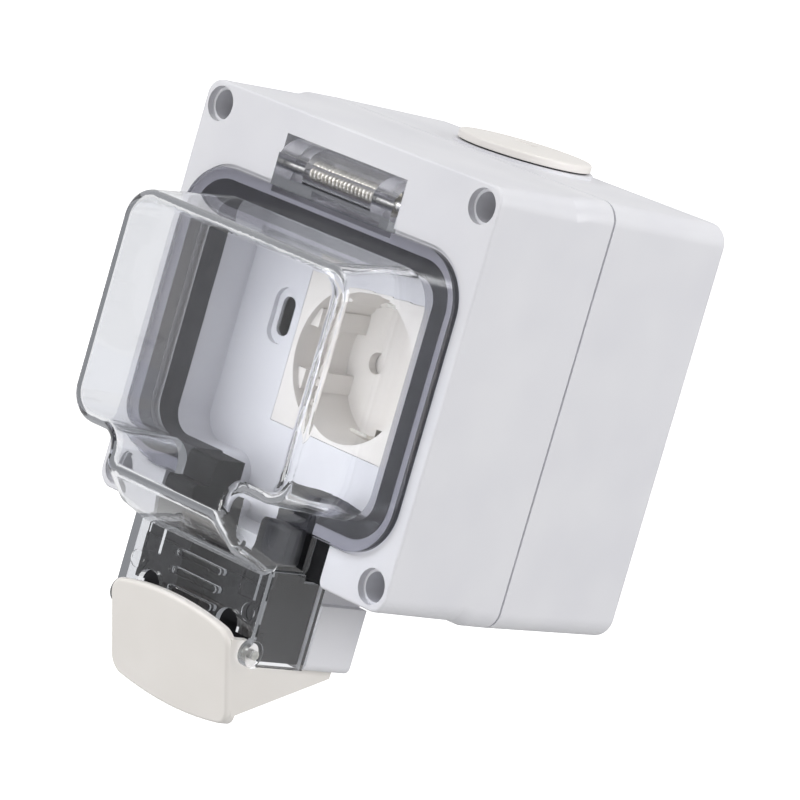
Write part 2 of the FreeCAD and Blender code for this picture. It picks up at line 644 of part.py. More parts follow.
# screw wells
pocket(cover, "front", "0", "well_step_depth",
       circles=four_circles("screw_spacing", "screw_spacing", "well_width"))
pocket(cover, "front", "0", "well_depth",
       circles=four_circles("screw_spacing", "screw_spacing", "well_bore"))
pocket(cover, "front", "0", "parting_depth",
       circles=four_circles("screw_spacing", "screw_spacing", "screw_width + 2 * screw_clearance"))
# oblong holes and window in the floor of the tub
for side in ("-1", "1"):
    middle = side + " * slot_offset"
    for wide, high, start, deep in (
        ("slot_width", "slot_height", "tub_depth", "slot_step"),
        ("slot_hole_width", "slot_hole_height", "tub_depth", "floor_wall"),
    ):
        pocket(cover, "front", start, deep,
               [box_corners(middle + " - " + wide + " / 2", middle + " + " + wide + " / 2",
                            "slot_rise - " + high + " / 2", "slot_rise + " + high + " / 2",
                            "0.46 * " + wide)])
pocket(cover, "front", "tub_depth", "floor_wall",
       [box_corners("-insert_width / 2", "insert_width / 2",
                    "-insert_drop - insert_height / 2", "insert_height / 2 - insert_drop")])
pad(cover, "front", FLOOR_REAR, "flange_wall",
    circles=four_circles("retainer_across", "retainer_up", "retainer_boss", "insert_drop"))
pocket(cover, "front", FLOOR_REAR + " - screw_bite", "flange_wall + screw_bite",
       circles=four_circles("retainer_across", "retainer_up", "retainer_screw", "insert_drop"))

# Back box
box = new_body("back_box")
pad(box, "front", "parting_depth", "parting_step",
    [square("case_width - 2 * parting_step", "case_corner - parting_step")])
loft(box, False, [
    ("parting_depth + parting_step", square("case_width", "case_corner")),
    ("case_depth", square("rear_width", "case_corner")),
])
round_edges(box, "Fillet", "rear_round",
            lambda edge: all(near(spot.Point.y, "case_depth") for spot in edge.Vertexes))
pocket(box, "front", "parting_depth", "case_depth - rear_wall - parting_depth",
       [square("case_width - 2 * case_wall", "case_corner - parting_step")])
pad(box, "front", "parting_depth", "case_depth - rear_wall / 2 - parting_depth",
    circles=four_circles("screw_spacing", "screw_spacing", "column_width"))
pad(box, "front", "case_depth - rear_wall - fixing_boss_height", "fixing_boss_height + rear_wall / 2",
    circles=four_circles("fixing_spacing", "fixing_spacing", "fixing_boss"))
pad(box, "top", "case_width / 2 - case_wall", "case_wall + entry_flat",
    circles=[("0", "entry_depth", "cap_width + 2 * cap_seal_margin")])
pocket(box, "top", "case_width / 2 - 2 * case_wall", "2 * case_wall + entry_flat",
       circles=[("0", "entry_depth", "entry_hole")])
pocket(box, "front", "parting_depth", "well_depth + screw_length + screw_width / 2 - parting_depth",
       circles=four_circles("screw_spacing", "screw_spacing", "screw_width"))
pocket(box, "front", "parting_depth", "case_seal_depth",
       [square("case_width - 2 * case_seal_inset", "case_corner - case_seal_inset"),
        square("case_width - 2 * case_seal_inset - 2 * case_seal_width",
               "case_corner - case_seal_inset - case_seal_width")])
pocket(box, "front", "case_depth - 2 * rear_wall - fixing_boss_height",
       "2 * rear_wall + fixing_boss_height",
       circles=four_circles("fixing_spacing", "fixing_spacing", "fixing_hole"))

# Seal between cover and back box
case_seal = new_body("case_seal")
pad(case_seal, "front", "parting_depth", "case_seal_depth",
    [square("case_width - 2 * case_seal_inset", "case_corner - case_seal_inset"),
     square("case_width - 2 * case_seal_inset - 2 * case_seal_width",
            "case_corner - case_seal_inset - case_seal_width")])

# Four cover screws
screws = new_body("cover_screws")
pad(screws, "front", "well_depth - screw_head_height", "screw_head_height",
    circles=four_circles("screw_spacing", "screw_spacing", "screw_head_width"))
pad(screws, "front", "well_depth", "screw_length",
    circles=four_circles("screw_spacing", "screw_spacing", "screw_width"))
for wide, high in (("drive_width", "drive_slot"), ("drive_slot", "drive_width")):
    marks = []
    for side, level in CORNERS:
        across = side + " * screw_spacing / 2"
        up = level + " * screw_spacing / 2"
        marks.append(box_corners(across + " - " + wide + " / 2", across + " + " + wide + " / 2",
                                 up + " - " + high + " / 2", up + " + " + high + " / 2"))
    pocket(screws, "front", "well_depth - screw_head_height", "drive_depth", marks)

# Blanking cap of the cable entry and its washer
CAP_UNDER = "(case_width / 2 + entry_flat + cap_seal_height)"
cap = new_body("entry_cap")
revolve(cap, "side", "entry_depth", [
    ("0", CAP_UNDER + " + cap_height - cap_crown"),
    ("0", CAP_UNDER + " + cap_height + cap_crown"),
    ("cap_width / 4", CAP_UNDER + " + cap_height + cap_crown", "cap_width / 4"),
    ("cap_width / 2", CAP_UNDER + " + cap_height", "cap_crown"),
    ("cap_width / 2", CAP_UNDER),
    ("entry_hole / 2 - cap_clearance", CAP_UNDER),
    ("entry_hole / 2 - cap_clearance", CAP_UNDER + " - cap_stem_length"),
    ("entry_hole / 2 - cap_clearance - cap_stem_wall", CAP_UNDER + " - cap_stem_length"),
    ("entry_hole / 2 - cap_clearance - cap_stem_wall", CAP_UNDER + " + cap_height - cap_crown"),
], "V_Axis")
pocket(cap, "top", CAP_UNDER + " + cap_height", "2 * cap_crown",
       [box_corners("-cap_slot_length / 2", "cap_slot_length / 2",
                    "entry_depth - cap_slot_width / 2", "entry_depth + cap_slot_width / 2")])
washer = new_body("entry_cap_seal")
pad(washer, "top", "case_width / 2 + entry_flat", "cap_seal_height",
    circles=[("0", "entry_depth", "cap_width - 2 * cap_seal_margin"),
             ("0", "entry_depth", "entry_hole")])

# Seal under the lid rim, open where the cable way passes
lid_seal = new_body("lid_seal")
pad(lid_seal, "front", "seat_depth - seal_stand", "seal_stand + seal_groove",
    [seat_outline("seal_inset"), seat_outline("seal_inset + seal_width")])
pocket(lid_seal, "front", "seat_depth - seal_stand", "seal_stand + seal_groove",
       [box_corners("-channel_width / 2", "channel_width / 2", "-seat_bottom", "0")])

# Rubber cable seal in the notch and the chin
rubber = new_body("cable_seal")
pad(rubber, "side", "-block_width / 2", "block_width", [[
    ("-prong_front", "-prong_top", "prong_front"), ("-prong_front", "-block_top"),
    ("-block_front", "-block_top", "prong_front"), ("-block_front", "-block_step"),
    ("-block_low_front", "-block_step"), ("-block_low_front", "-block_toe"),
    ("-block_toe_front", "-block_toe"), ("-block_toe_front", "-block_bottom"),
    (BLOCK_REAR, "-block_bottom"), (BLOCK_REAR, "-prong_top"),
]])
pad(rubber, "front", "shoulder_front", BLOCK_REAR + " - shoulder_front",
    [box_corners("-(notch_width / 2 - shoulder_gap)", "notch_width / 2 - shoulder_gap",
                 "-(face_width / 2 - shoulder_gap)", "-(seat_bottom + shoulder_gap)")])
pocket(rubber, "front", "-2 * block_front", BLOCK_REAR + " + 2 * block_front", [[
    ("-saddle_width / 2", "-saddle_bottom", "saddle_round"),
    ("saddle_width / 2", "-saddle_bottom", "saddle_round"),
    ("saddle_width / 2", "-prong_top + prong_front"),
    ("-saddle_width / 2", "-prong_top + prong_front"),
]])
pocket(rubber, "front", "-2 * block_front", "throat_rear + 2 * block_front",
       [box_corners("-throat_width / 2", "throat_width / 2", "-(block_bottom + 1)",
                    "-(saddle_bottom - saddle_round)")])


# Clear lid
def share(distance):
    return "((bubble_depth - (" + distance + ")) / bubble_depth)"


def between(front, root, distance):
    return "(" + front + " + (" + root + " - " + front + ") * " + share(distance) + ")"


def lid_section(distance, neck, bottom, inset):
    """Bubble with its neck at a distance ahead of the face, moved inwards by the inset."""
    half = "(" + between("bubble_width", "root_width", distance) + " / 2 - " + inset + ")"
    top = between("bubble_top", "root_top", distance) + " - " + inset
    shoulder = "-(" + between("bubble_bottom", "root_bottom", distance) + " - " + inset + ")"
    corner = between("bubble_corner", "root_corner", distance) + " - " + inset
    side = "(" + neck + " / 2 - " + inset + ")"
    low = "-(" + bottom + " - " + inset + ")"
    hollow = "neck_round + " + inset
    foot = "neck_corner - " + inset
    return [
        ("-" + side, low, foot), (side, low, foot), (side, shoulder, hollow),
        (half, shoulder, corner), (half, top, corner), ("-" + half, top, corner),
        ("-" + half, shoulder, corner), ("-" + side, shoulder, hollow),
    ]


def lid_sections(inset):
    return [
        ("-(bubble_depth - %s)" % inset, lid_section("bubble_depth", "neck_width", "neck_bottom", inset)),
        ("-apron_depth", lid_section("apron_depth", "apron_width", "apron_bottom", inset)),
        ("-chin_front", lid_section("chin_front", "chin_width", "chin_top", inset)),
        (RIM_REAR, lid_section("0", "chin_width", "chin_top", inset)),
    ]


lid = new_body("lid")
pad(lid, "front", RIM_REAR + " - rim_thickness", "rim_thickness", [box_corners(
    "-(seat_width / 2 - rim_gap)", "seat_width / 2 - rim_gap",
    "-(seat_bottom - rim_gap)", "seat_top - rim_gap_top", "seat_corner - rim_gap")])
loft(lid, False, lid_sections("0"))
round_edges(lid, "Fillet", "bubble_edge",
            lambda edge: all(near(spot.Point.y, "-bubble_depth") for spot in edge.Vertexes))
pad(lid, "front", RIM_REAR + " - rim_thickness", "hinge_depth + rim_thickness - " + RIM_REAR,
    [box_corners("-(hinge_notch_width / 2 - hinge_gap)", "hinge_notch_width / 2 - hinge_gap",
                 "seat_top - rim_gap_top - tab_lap", "hinge_level + tab_rise")])
pocket(lid, "front", RIM_REAR, "hinge_depth - " + RIM_REAR,
       [box_corners("-hinge_notch_width / 2", "hinge_notch_width / 2",
                    "root_top", "hinge_notch_bottom + tab_lap")])
pad(lid, "side", "-(hinge_notch_width / 2 - hinge_gap)", "hinge_notch_width - 2 * hinge_gap",
    circles=[("hinge_depth", "hinge_level", "barrel_width")])
pocket(lid, "side", "-spring_room / 2", "spring_room",
       circles=[("hinge_depth", "hinge_level", "spring_room_width")])
pocket(lid, "side", "-spring_room / 2", "spring_room",
       [box_corners("hinge_depth", "hinge_depth + barrel_width / 2 + 1",
                    "hinge_level - spring_room_width / 2", "hinge_level + spring_room_width / 2")])
pocket(lid, "side", "-hinge_notch_width / 2", "hinge_notch_width",
       circles=[("hinge_depth", "hinge_level", "pin_width + 2 * pin_clearance")])
# chin
pad(lid, "side", "-chin_width / 2", "chin_width", [[
    ("-chin_front", "-(chin_top - lid_wall)"), ("-chin_front", "-chin_bottom"),
    ("chin_rear", "-chin_bottom"), ("chin_rear", "-chin_top"),
    (RIM_REAR, "-chin_top"), (RIM_REAR, "-(chin_top - lid_wall)"),
]])
loft(lid, True, lid_sections("lid_wall"))
round_edges(lid, "Fillet", "bubble_edge - lid_wall",
            lambda edge: all(near(spot.Point.y, "lid_wall - bubble_depth") for spot in edge.Vertexes))
pocket(lid, "front", "-(chin_front - panel_wall)", "chin_front + chin_rear",
       [box_corners("-(chin_width / 2 - lid_wall)", "chin_width / 2 - lid_wall",
                    "-(chin_bottom + 1)", "-(chin_top - lid_wall - panel_wall)")])
pocket(lid, "front", "-(chin_front + 1)", "panel_wall + 2",
       [box_corners("-(chin_width / 2 - lid_wall)", "chin_width / 2 - lid_wall",
                    "-(chin_bottom + 1)", "-panel_bottom")])
for side in ("-1", "1"):
    middle = side + " * stiffener_offset"
    pad(lid, "front", "-(chin_front - panel_wall / 2)", "stiffener_depth + panel_wall / 2",
        [box_corners(middle + " - stiffener_width / 2", middle + " + stiffener_width / 2",
                     "-stiffener_bottom", "-(chin_top - lid_wall / 2)")])
    left = side + " * window_offset - window_width / 2"
    right = side + " * window_offset + window_width / 2"
    pocket(lid, "front", "-(chin_front + 1)", "panel_wall + 2", [[
        (left, "-(panel_bottom + 1)"), (right, "-(panel_bottom + 1)"),
        (right, "-window_top", "0.46 * window_width"), (left, "-window_top", "0.46 * window_width"),
    ]])
pocket(lid, "front", "-chin_front", "disc_depth",
       circles=[("-disc_offset", "-disc_level", "disc_width"),
                ("disc_offset", "-disc_level", "disc_width")])
for count in range(3):
    level = "-(grip_first + %d * grip_pitch)" % count
    pad(lid, "front", "-(chin_front + grip_proud)", "grip_proud + panel_wall + grip_depth",
        [box_corners("-grip_width / 2", "grip_width / 2", level + " - grip_height / 2",
                     level + " + grip_height / 2", "0.46 * grip_height")])
# ears round the latch pin
for start in ("-chin_width / 2", "latch_width / 2 + ear_gap"):
    pad(lid, "side", start, "chin_width / 2 - latch_width / 2 - ear_gap",
        circles=[("-latch_ahead", "-latch_level", "ear_width")])
pocket(lid, "side", "-chin_width / 2", "chin_width",
       circles=[("-latch_ahead", "-latch_level", "latch_pin_width")])

# Hinge pin and the spring round it
pin = new_body("hinge_pin")
pad(pin, "side", "-(hinge_notch_width / 2 + pin_grip)", "hinge_notch_width + 2 * pin_grip",
    circles=[("hinge_depth", "hinge_level", "pin_width")])


def coil(name, wire, mean, height, coils, place, turn):
    """Round wire wound to a helix, with its axis turned from Z and its foot at the place."""
    helix = doc.addObject("Part::Helix", name + "_path")
    tie(helix, "Height", height + " - " + wire)
    tie(helix, "Pitch", "(" + height + " - " + wire + ") / " + coils)
    tie(helix, "Radius", mean + " / 2")
    helix.SegmentLength = 1
    section = doc.addObject("Part::RegularPolygon", name + "_wire")
    section.Polygon = 8
    tie(section, "Circumradius", wire + " / 2")
    tie(section, "Placement.Base.x", mean + " / 2")
    section.Placement.Rotation = FreeCAD.Rotation(ALONG_X, 90)
    sweep = doc.addObject("Part::Sweep", name)
    sweep.Sections = [section]
    sweep.Spine = helix
    sweep.Solid = True
    sweep.Frenet = True
    sweep.Label = name
    sweep.Placement = FreeCAD.Placement(FreeCAD.Vector(), turn)
    tie(sweep, "Placement.Base.x", place[0])
    tie(sweep, "Placement.Base.y", place[1] + " - case_depth")
    tie(sweep, "Placement.Base.z", place[2])
    doc.recompute()
    return sweep


hinge_spring = coil("hinge_spring", "spring_wire", "spring_mean", "spring_length", "spring_coils",
                    ("-(spring_length - spring_wire) / 2", "hinge_depth", "hinge_level"),
                    FreeCAD.Rotation(ALONG_Y, 90))

# Latch: paddle, cheeks and catch bar
latch = new_body("latch")


def paddle_line(back, level):
    """Y of the paddle face, moved back, at a height."""
    return ("(-latch_ahead - (latch_face - (%s)) / cos(latch_tilt)"
            " - ((%s) + latch_level) * tan(latch_tilt))" % (back, level))


def paddle_outline(sketch):
    """Upright sides with an arched upper and lower edge."""
    half = number("latch_width / 2")
    low = -number("paddle_bottom")
    high = -number("paddle_top")
    spots = [(-half, low), (half, low), (half, high), (-half, high)]
    spots = [FreeCAD.Vector(x, z, 0) for x, z in spots]
    sag = FreeCAD.Vector(0, low - number("paddle_sag"), 0)
    crown = FreeCAD.Vector(0, high + number("paddle_crown"), 0)
    foot = sketch.addGeometry(Part.Arc(spots[0], sag, spots[1]), False)
    right = sketch.addGeometry(Part.LineSegment(spots[1], spots[2]), False)
    head = sketch.addGeometry(Part.Arc(spots[2], crown, spots[3]), False)
    left = sketch.addGeometry(Part.LineSegment(spots[3], spots[0]), False)
    sketch.addConstraint([
        Sketcher.Constraint("Coincident", foot, 1, left, 2),
        Sketcher.Constraint("Coincident", foot, 2, right, 1),
        Sketcher.Constraint("Coincident", head, 1, right, 2),
        Sketcher.Constraint("Coincident", head, 2, left, 1),
    ])
    for line, sign in ((left, "-"), (right, "")):
        ends = ("-paddle_top", "-paddle_bottom") if line == left else ("-paddle_bottom", "-paddle_top")
        fix_point(sketch, line, 1, sign + "latch_width / 2", ends[0])
        fix_point(sketch, line, 2, sign + "latch_width / 2", ends[1])
    fix_radius(sketch, foot, "((latch_width / 2) ^ 2 + paddle_sag ^ 2) / (2 * paddle_sag)")
    fix_radius(sketch, head, "((latch_width / 2) ^ 2 + paddle_crown ^ 2) / (2 * paddle_crown)")


outline = new_sketch(latch, "front", "-(latch_ahead + 3 * latch_face)")
paddle_outline(outline)
blank = latch.newObject("PartDesign::Pad", "latch_pad")
blank.Profile = outline
blank.Reversed = True
tie(blank, "Length", "latch_ahead + 3 * latch_face")
doc.recompute()
round_edges(latch, "Fillet", "paddle_corner", lambda edge: along(edge, ALONG_Y))
ABOVE = "-(paddle_top - 2 * paddle_crown)"
BELOW = "-(paddle_bottom + 2 * paddle_sag)"
AHEAD = "-(2 * latch_ahead + 4 * latch_face)"
pocket(latch, "side", "-latch_width", "2 * latch_width", [[
    (paddle_line("0", ABOVE), ABOVE), (AHEAD, ABOVE), (AHEAD, BELOW), (paddle_line("0", BELOW), BELOW),
]])
pocket(latch, "side", "-latch_width", "2 * latch_width", [[
    (paddle_line("paddle_wall", BELOW), BELOW), ("latch_ahead", BELOW), ("latch_ahead", ABOVE),
    (paddle_line("paddle_wall", ABOVE), ABOVE),
]])
round_edges(latch, "Fillet", "paddle_edge", lambda edge: all(
    near(spot.Point.y, paddle_line("0", "%.9f" % spot.Point.z)) for spot in edge.Vertexes))
CHEEK_TOP = "-(latch_level - cheek_knuckle / 2)"
CHEEK_LEDGE = "-(bracket_bottom + cheek_rise)"
for start in ("-latch_width / 2", "latch_width / 2 - latch_cheek"):
    pad(latch, "side", start, "latch_cheek", [[
        (paddle_line("paddle_wall / 2", CHEEK_TOP), CHEEK_TOP),
        (paddle_line("paddle_wall / 2", "-cheek_foot"), "-cheek_foot"),
        ("cheek_rear", "-cheek_heel"), ("cheek_rear", CHEEK_LEDGE),
        ("cheek_knuckle / 2 - latch_ahead", CHEEK_LEDGE),
        ("cheek_knuckle / 2 - latch_ahead", CHEEK_TOP, "cheek_knuckle / 2"),
    ]])
pad(latch, "side", "-latch_width / 2", "latch_width", [[
    ("cheek_rear - hook_length", CHEEK_LEDGE),
    ("cheek_rear - hook_length", "-cheek_heel"), ("cheek_rear", "-cheek_heel"),
    ("cheek_rear", CHEEK_LEDGE + " + hook_rise"),
    ("cheek_rear - hook_length / 2", CHEEK_LEDGE + " + hook_rise"),
]])
pocket(latch, "side", "-latch_width", "2 * latch_width",
       circles=[("-latch_ahead", "-latch_level", "latch_pin_width + 2 * latch_pin_clearance")])
latch_pin = new_body("latch_pin")
pad(latch_pin, "side", "-chin_width / 2", "chin_width",
    circles=[("-latch_ahead", "-latch_level", "latch_pin_width")])

# Socket insert: plate, plug recess and its guide ribs
face = new_body("socket_face")
PLATE = box_corners("-(insert_width / 2 - insert_fit)", "insert_width / 2 - insert_fit",
                    "-insert_drop - (insert_height / 2 - insert_fit)",
                    "insert_height / 2 - insert_fit - insert_drop")
pad(face, "front", "tub_depth", "floor_wall", [PLATE])
FLANGE = box_corners("-(insert_width / 2 + insert_flange)", "insert_width / 2 + insert_flange",
                     "-insert_drop - (insert_height / 2 + insert_flange)",
                     "insert_height / 2 + insert_flange - insert_drop")
pad(face, "front", FLOOR_REAR, "flange_wall", [FLANGE])
pad(face, "front", FLOOR_REAR, CUP_REAR + " - " + FLOOR_REAR,
    circles=[("0", INSERT_LEVEL, "recess_width + 2 * cup_wall")])
pocket(face, "front", "tub_depth", "recess_depth", circles=[("0", INSERT_LEVEL, "recess_width")])
KEY_NEAR = "(key_level - key_width / 2)"
KEY_FAR = "(key_level + key_width / 2)"
for side in ("-1", "1"):
    for level in ("-1", "1"):
        root = side + " * sqrt((recess_width / 2 + cup_wall / 2) ^ 2 - %s ^ 2)"
        up = "-insert_drop + " + level + " * "
        pad(face, "front", "tub_depth + key_start", "recess_depth - key_start", [[
            (side + " * key_face", up + KEY_NEAR), (root % KEY_NEAR, up + KEY_NEAR),
            (root % KEY_FAR, up + KEY_FAR), (side + " * key_face", up + KEY_FAR),
        ]])
pocket(face, "front", RECESS_FLOOR, "cup_floor",
       circles=[("-pole_spacing / 2", INSERT_LEVEL, "pole_hole"),
                ("pole_spacing / 2", INSERT_LEVEL, "pole_hole")])
EARTH_SLOTS = []
for level in ("-1", "1"):
    ends = ["-insert_drop + " + level + " * (earth_height / 2 - earth_strip - earth_bend - earth_play)",
            "-insert_drop + " + level + " * (earth_height / 2 + earth_play)"]
    if level == "-1":
        ends.reverse()
    EARTH_SLOTS.append(box_corners("-(earth_width / 2 + earth_play)", "earth_width / 2 + earth_play",
                                   ends[0], ends[1]))
pocket(face, "front", RECESS_FLOOR, "cup_floor", EARTH_SLOTS)
BASE_SCREWS = [("-base_screw_across / 2", "base_screw_up / 2 - insert_drop"),
               ("base_screw_across / 2", "-base_screw_up / 2 - insert_drop")]
pocket(face, "front", CUP_REAR + " - screw_bite", "screw_bite",
       circles=[(across, up, "base_screw_width") for across, up in BASE_SCREWS])

# Base behind the recess, with the shutter pocket and its pivot
base = new_body("socket_base")
SHUTTER_REAR = "(" + CUP_REAR + " + shutter_wall + 2 * shutter_play)"
pad(base, "front", CUP_REAR, "base_depth", circles=[("0", INSERT_LEVEL, "base_width")])
pocket(base, "front", CUP_REAR, "shutter_wall + 2 * shutter_play",
       circles=[("0", INSERT_LEVEL, "shutter_width + 2 * shutter_play")])
pocket(base, "front", SHUTTER_REAR, "coil_height + coil_play",
       circles=[("0", INSERT_LEVEL, "coil_width + coil_wire + 2 * coil_play")])
pad(base, "front", CUP_REAR + " + shutter_play",
    "shutter_wall + shutter_play + coil_height + 2 * coil_play",
    circles=[("0", INSERT_LEVEL, "pivot_width")])
for side in ("-1", "1"):
    pole = side + " * pole_spacing / 2"
    pocket(base, "front", SHUTTER_REAR, BASE_REAR + " - " + SHUTTER_REAR,
           circles=[(pole, INSERT_LEVEL, "tube_width + 2 * contact_fit")])
    pocket(base, "front", BASE_REAR + " - terminal_depth - contact_fit", "terminal_depth + contact_fit",
           [box_corners(pole + " - terminal_width / 2 - contact_fit",
                        pole + " + terminal_width / 2 + contact_fit",
                        "-insert_drop - terminal_drop - terminal_height / 2 - contact_fit",
                        "-insert_drop")])
pocket(base, "front", CUP_REAR, "base_depth", EARTH_SLOTS)
pocket(base, "front", CUP_REAR, "base_depth",
       circles=[(across, up, "base_screw_width + 2 * insert_fit") for across, up in BASE_SCREWS])
EARTH_SCREW = ("0", "-insert_drop - terminal_drop")
SHANK = "(terminal_depth - 2 * contact_fit)"
pocket(base, "front", BASE_REAR + " - " + SHANK, SHANK,
       circles=[EARTH_SCREW + ("terminal_screw",)])

# Shutter disc and its spring
shutter = new_body("shutter")
TURNED = [("%s * pole_spacing / 2 * cos(shutter_turn)" % side,
           "%s * pole_spacing / 2 * sin(shutter_turn) - insert_drop" % side, "pole_hole")
          for side in ("-1", "1")]
pad(shutter, "front", CUP_REAR + " + shutter_play", "shutter_wall",
    circles=[("0", INSERT_LEVEL, "shutter_width"),
             ("0", INSERT_LEVEL, "pivot_width + 2 * pivot_play")] + TURNED)
coil("shutter_spring", "coil_wire", "coil_width", "coil_height", "2",
     ("0", SHUTTER_REAR + " + coil_height - coil_wire / 2", INSERT_LEVEL),
     FreeCAD.Rotation(ALONG_X, 90))

# Live contacts, left and right
for side, name in (("-1", "contact_left"), ("1", "contact_right")):
    contact = new_body(name)
    pole = side + " * pole_spacing / 2"
    pad(contact, "front", BASE_REAR + " - tube_length", "tube_length",
        circles=[(pole, INSERT_LEVEL, "tube_width")])
    pad(contact, "front", BASE_REAR + " - terminal_depth", "terminal_depth",
        [box_corners(pole + " - terminal_width / 2", pole + " + terminal_width / 2",
                     "-insert_drop - terminal_drop - terminal_height / 2", "-insert_drop")])
    pocket(contact, "front", BASE_REAR + " - tube_length", "tube_length",
           circles=[(pole, INSERT_LEVEL, "tube_bore")])
    pocket(contact, "top", "-insert_drop - terminal_drop - terminal_height / 2", "terminal_height",
           circles=[(pole, BASE_REAR + " - terminal_depth / 2", "wire_hole")])
    pocket(contact, "front", BASE_REAR + " - " + SHANK, SHANK,
           circles=[(pole, "-insert_drop - terminal_drop", "terminal_screw")])

# Earth clip round the base, with sprung arms that reach into the recess
earth = new_body("earth_clip")
STRAP_REAR = "(" + BASE_REAR + " + earth_strip)"
TIP = "(" + RECESS_FLOOR + " - earth_reach)"
ELBOW = "(" + RECESS_FLOOR + " - earth_reach / 2)"


def arm(level, inwards):
    return "-insert_drop + %s * (earth_height / 2 - (%s))" % (level, inwards)


pad(earth, "side", "-earth_width / 2", "earth_width", [[
    (STRAP_REAR, arm("-1", "0")), (STRAP_REAR, arm("1", "0")), (ELBOW, arm("1", "0")),
    (TIP, arm("1", "earth_bend")), (TIP, arm("1", "earth_bend + earth_strip")),
    (ELBOW, arm("1", "earth_strip")), (BASE_REAR, arm("1", "earth_strip")),
    (BASE_REAR, arm("-1", "earth_strip")), (ELBOW, arm("-1", "earth_strip")),
    (TIP, arm("-1", "earth_bend + earth_strip")), (TIP, arm("-1", "earth_bend")),
    (ELBOW, arm("-1", "0")),
]])
pocket(earth, "front", BASE_REAR, "earth_strip", circles=[EARTH_SCREW + ("terminal_screw",)])

# Screws of the terminals and of the base
terminal_screws = new_body("terminal_screws")
POLE_SCREWS = [("-pole_spacing / 2", "-insert_drop - terminal_drop"),
               ("pole_spacing / 2", "-insert_drop - terminal_drop")]
pad(terminal_screws, "front", BASE_REAR + " - " + SHANK, SHANK,
    circles=[spot + ("terminal_screw",) for spot in POLE_SCREWS])
pad(terminal_screws, "front", BASE_REAR, "small_head_height",
    circles=[spot + ("terminal_head",) for spot in POLE_SCREWS])
pad(terminal_screws, "front", BASE_REAR + " - " + SHANK, SHANK + " + earth_strip",
    circles=[EARTH_SCREW + ("terminal_screw",)])
pad(terminal_screws, "front", STRAP_REAR, "small_head_height",
    circles=[EARTH_SCREW + ("terminal_head",)])
base_screws = new_body("base_screws")
pad(base_screws, "front", CUP_REAR + " - screw_bite", "screw_bite + base_depth",
    circles=[spot + ("base_screw_width",) for spot in BASE_SCREWS])
pad(base_screws, "front", BASE_REAR, "small_head_height",
    circles=[spot + ("small_head",) for spot in BASE_SCREWS])

# Plate that holds the insert against the floor of the tub, and its four screws
retainer = new_body("retainer")
pad(retainer, "front", FLANGE_REAR, "retainer_wall",
    [box_corners("-(insert_width / 2 + insert_flange)", "insert_width / 2 + insert_flange",
                 "-insert_drop - retainer_height / 2", "retainer_height / 2 - insert_drop")],
    circles=[("0", INSERT_LEVEL, "recess_width + 2 * cup_wall + 2 * retainer_gap")]
    + four_circles("retainer_across", "retainer_up", "retainer_screw + 2 * insert_fit", "insert_drop"))
retainer_screws = new_body("retainer_screws")
pad(retainer_screws, "front", FLOOR_REAR + " - screw_bite",
    "screw_bite + flange_wall + retainer_wall",
    circles=four_circles("retainer_across", "retainer_up", "retainer_screw", "insert_drop"))
pad(retainer_screws, "front", FLANGE_REAR + " + retainer_wall", "small_head_height",
    circles=four_circles("retainer_across", "retainer_up", "small_head", "insert_drop"))

doc.recompute()
failed = [item.Label for item in doc.Objects if "Invalid" in item.State or "Error" in item.State]
if failed:
    raise ValueError("failed: " + ", ".join(failed))
nodes = [item for item in doc.Objects if item.TypeId in ("PartDesign::Body", "Part::Sweep")]
for node in nodes:
    if node.Shape.isNull() or not node.Shape.isValid():
        raise ValueError(node.Label + " has no valid shape")
os.makedirs("parts", exist_ok=True)
for node in nodes:
    node.Shape.exportStep("parts/" + node.Label + ".step")
    print("%-18s solids %2d  volume %10.1f" % (node.Label, len(node.Shape.Solids), node.Shape.Volume))
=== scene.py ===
"""Outdoor socket: grey wall box, clear hinged lid, white socket insert, cap and latch."""
import math

import bmesh
import bpy
from mathutils import Matrix, Vector


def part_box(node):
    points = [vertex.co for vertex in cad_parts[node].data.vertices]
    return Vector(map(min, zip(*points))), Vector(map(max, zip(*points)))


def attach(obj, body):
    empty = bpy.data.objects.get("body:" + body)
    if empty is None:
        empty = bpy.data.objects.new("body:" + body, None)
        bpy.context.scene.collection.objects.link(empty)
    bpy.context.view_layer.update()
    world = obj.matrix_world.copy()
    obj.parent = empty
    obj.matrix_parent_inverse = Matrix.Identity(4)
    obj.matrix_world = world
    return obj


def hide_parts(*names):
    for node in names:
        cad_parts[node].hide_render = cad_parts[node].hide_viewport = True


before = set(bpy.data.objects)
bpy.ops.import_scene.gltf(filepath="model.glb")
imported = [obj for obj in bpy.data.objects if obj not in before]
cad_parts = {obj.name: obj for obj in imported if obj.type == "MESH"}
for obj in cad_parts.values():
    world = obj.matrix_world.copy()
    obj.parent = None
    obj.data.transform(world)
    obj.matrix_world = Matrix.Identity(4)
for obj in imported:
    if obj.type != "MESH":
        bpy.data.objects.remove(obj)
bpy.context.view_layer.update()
MM = 0.001

# Seat of the lid in the cover: its floor, its corner radius, the way for the cable below
# the tub, and how far the seal stands in from the edge of the seat
SEAT_FLOOR = -83.2 * MM
SEAT_CORNER = 14.5 * MM
CABLE_WAY = 45.0 * MM
SEAL_INSET = 3.7 * MM
# Lip and lining of the seal: their insets from the edge of the seat, how far they stand
# proud of its floor, and how deep the lining reaches into the tub
LIP_OUTER = 3.75 * MM
LIP_INNER = 7.6 * MM
LINING_INNER = 8.3 * MM
SEAL_PROUD = 0.18 * MM
LINING_DEPTH = 9.4 * MM

# Rim of the lid: all of it lies behind this plane and above this level, and what is
# above the second level belongs to the hinge
RIM_FRONT = -86.0 * MM
RIM_FOOT = -43.5 * MM
HINGE_FOOT = 34.3 * MM
